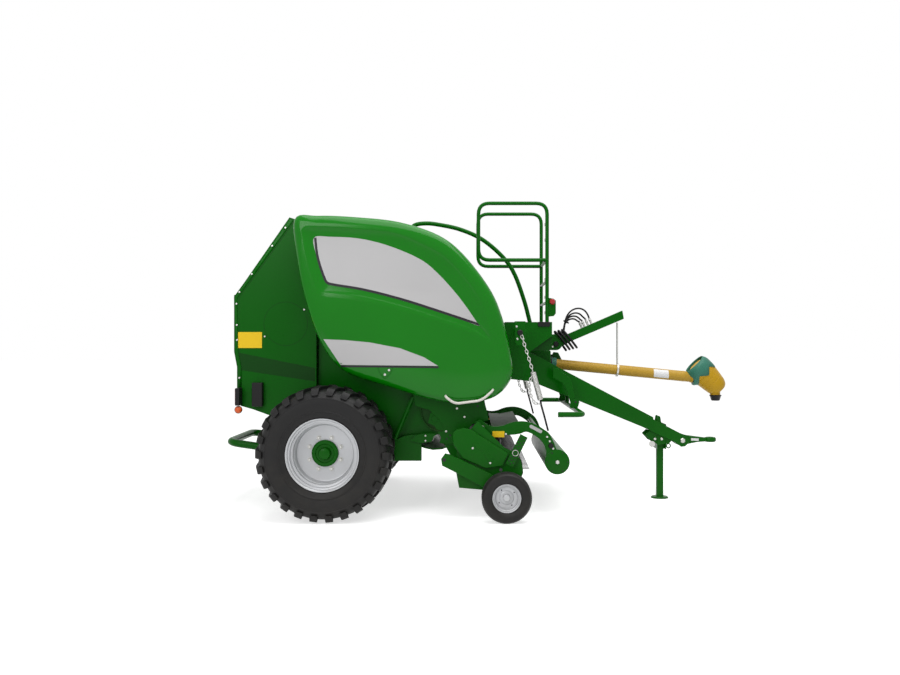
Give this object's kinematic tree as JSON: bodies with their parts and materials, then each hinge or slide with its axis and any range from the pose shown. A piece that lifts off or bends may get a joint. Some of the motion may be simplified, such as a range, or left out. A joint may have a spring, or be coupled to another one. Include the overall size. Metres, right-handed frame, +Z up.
{
  "type": "round baler",
  "caption": "Towed round baler with a fixed roller chamber, rising tailgate, swinging side covers, tined pick-up, crop press roller, drawbar, jack and parked drive shaft.",
  "frame": {"origin": "on the ground, under the middle of the whole machine", "axes": "+X forward to the tow eye, +Y to the machine's left, +Z up"},
  "size_m": [4.6, 2.54, 2.744],
  "materials": {
    "frame_green": "gloss paint",
    "cover_green": "gloss",
    "chamber_steel": "worn steel",
    "zinc_steel": "plated",
    "tyre_rubber": "matt",
    "rim_silver": "satin paint",
    "guard_yellow": "satin",
    "black_trim": "satin"
  },
  "bodies": {
    "chassis": {"axle_beam": "frame_green", "side_frame_right": "frame_green", "side_frame_left": "frame_green", "chamber_front": "chamber_steel", "hood": "cover_green", "intake_floor": "frame_green", "front_frame": "frame_green", "gearbox": "black_trim", "pto_tube": "guard_yellow", "pto_bell": "guard_yellow", "pto_hook": "zinc_steel", "hose_arm": "frame_green", "guard_rail": "black_trim", "hoop_tube": "black_trim", "drawbar_beam_right": "frame_green", "drawbar_beam_left": "frame_green", "drawbar_head": "frame_green", "tow_eye": "zinc_steel", "safety_bar": "black_trim", "lift_chain_right": "zinc_steel", "lift_chain_left": "zinc_steel"},
    "wheel_right": {"tyre_right": "tyre_rubber", "rim_right": "rim_silver"},
    "wheel_left": {"tyre_left": "tyre_rubber", "rim_left": "rim_silver"},
    "tailgate": {"tailgate_frame": "frame_green", "tailgate_panel": "frame_green", "wheel_chock": "black_trim", "lamp_right": "black_trim", "lamp_left": "black_trim"},
    "ram_barrel_right": {"ram_barrel_right": "frame_green"},
    "ram_barrel_left": {"ram_barrel_left": "frame_green"},
    "ram_rod_right": {"ram_rod_right": "zinc_steel"},
    "ram_rod_left": {"ram_rod_left": "zinc_steel"},
    "cover_right": {"cover_right": "cover_green"},
    "cover_left": {"cover_left": "cover_green"},
    "pickup": {"pickup_frame": "frame_green", "pickup_bands": "black_trim"},
    "tine_reel": {"tine_reel": "zinc_steel"},
    "gauge_wheel_right": {"gauge_tyre_right": "tyre_rubber", "gauge_rim_right": "rim_silver"},
    "gauge_wheel_left": {"gauge_tyre_left": "tyre_rubber", "gauge_rim_left": "rim_silver"},
    "crop_press": {"crop_press": "frame_green"},
    "crop_roller": {"crop_roller": "zinc_steel"},
    "feed_rotor": {"feed_rotor": "chamber_steel"},
    "jack": {"jack_leg": "zinc_steel"},
    "bale_ramp": {"bale_ramp": "black_trim"}
  },
  "joints": [
    {"name": "wheel_spin_right", "type": "hinge", "parent": "chassis", "child": "wheel_right", "pos_m": [-1.3, -0.995, 0.555], "axis": [0, 1, 0], "continuous": true},
    {"name": "wheel_spin_left", "type": "hinge", "parent": "chassis", "child": "wheel_left", "pos_m": [-1.3, 0.995, 0.555], "axis": [0, 1, 0], "continuous": true},
    {"name": "tailgate_lift", "type": "hinge", "parent": "chassis", "child": "tailgate", "pos_m": [-1.4, 0, 2.47], "axis": [0, 1, 0], "range_deg": [0, 60]},
    {"name": "ram_swing_right", "type": "hinge", "parent": "chassis", "child": "ram_barrel_right", "pos_m": [-0.75, -0.775, 1.15], "axis": [0, -1, 0], "range_deg": [0, 6]},
    {"name": "ram_slide_right", "type": "slide", "parent": "ram_barrel_right", "child": "ram_rod_right", "axis": [-0.6449, 0, 0.7642], "range_m": [0, 0.49]},
    {"name": "ram_swing_left", "type": "hinge", "parent": "chassis", "child": "ram_barrel_left", "pos_m": [-0.75, 0.775, 1.15], "axis": [0, -1, 0], "range_deg": [0, 6]},
    {"name": "ram_slide_left", "type": "slide", "parent": "ram_barrel_left", "child": "ram_rod_left", "axis": [-0.6449, 0, 0.7642], "range_m": [0, 0.49]},
    {"name": "cover_lift_right", "type": "hinge", "parent": "chassis", "child": "cover_right", "pos_m": [-1.2, -0.85, 2.54], "axis": [-1, 0, 0], "range_deg": [0, 75]},
    {"name": "cover_lift_left", "type": "hinge", "parent": "chassis", "child": "cover_left", "pos_m": [-1.2, 0.85, 2.54], "axis": [1, 0, 0], "range_deg": [0, 75]},
    {"name": "pickup_lift", "type": "hinge", "parent": "chassis", "child": "pickup", "pos_m": [-0.415, 0, 0.807], "axis": [0, -1, 0], "range_deg": [0, 15]},
    {"name": "reel_spin", "type": "hinge", "parent": "pickup", "child": "tine_reel", "pos_m": [0.15, 0, 0.4], "axis": [0, 1, 0], "continuous": true},
    {"name": "gauge_spin_right", "type": "hinge", "parent": "pickup", "child": "gauge_wheel_right", "pos_m": [0.19, -1.17, 0.205], "axis": [0, 1, 0], "continuous": true},
    {"name": "gauge_spin_left", "type": "hinge", "parent": "pickup", "child": "gauge_wheel_left", "pos_m": [0.19, 1.17, 0.205], "axis": [0, 1, 0], "continuous": true},
    {"name": "press_lift", "type": "hinge", "parent": "pickup", "child": "crop_press", "pos_m": [-0.042, 0, 0.773], "axis": [0, -1, 0], "range_deg": [0, 5]},
    {"name": "roller_spin", "type": "hinge", "parent": "crop_press", "child": "crop_roller", "pos_m": [0.632, 0, 0.452], "axis": [0, 1, 0], "continuous": true},
    {"name": "rotor_spin", "type": "hinge", "parent": "chassis", "child": "feed_rotor", "pos_m": [-0.415, 0, 0.807], "axis": [0, 1, 0], "continuous": true},
    {"name": "jack_lift", "type": "slide", "parent": "chassis", "child": "jack", "axis": [0, 0, 1], "range_m": [0, 0.3]},
    {"name": "ramp_tilt", "type": "hinge", "parent": "chassis", "child": "bale_ramp", "pos_m": [-1.75, 0, 0.5], "axis": [0, -1, 0], "range_deg": [0, 25]}
  ],
  "couplings": [
    {"joint": "ram_swing_right", "follows": "tailgate_lift", "ratio": 0.07828},
    {"joint": "ram_slide_right", "follows": "tailgate_lift", "m_per_rad": 0.46655},
    {"joint": "ram_swing_left", "follows": "tailgate_lift", "ratio": 0.07828},
    {"joint": "ram_slide_left", "follows": "tailgate_lift", "m_per_rad": 0.46655}
  ]
}
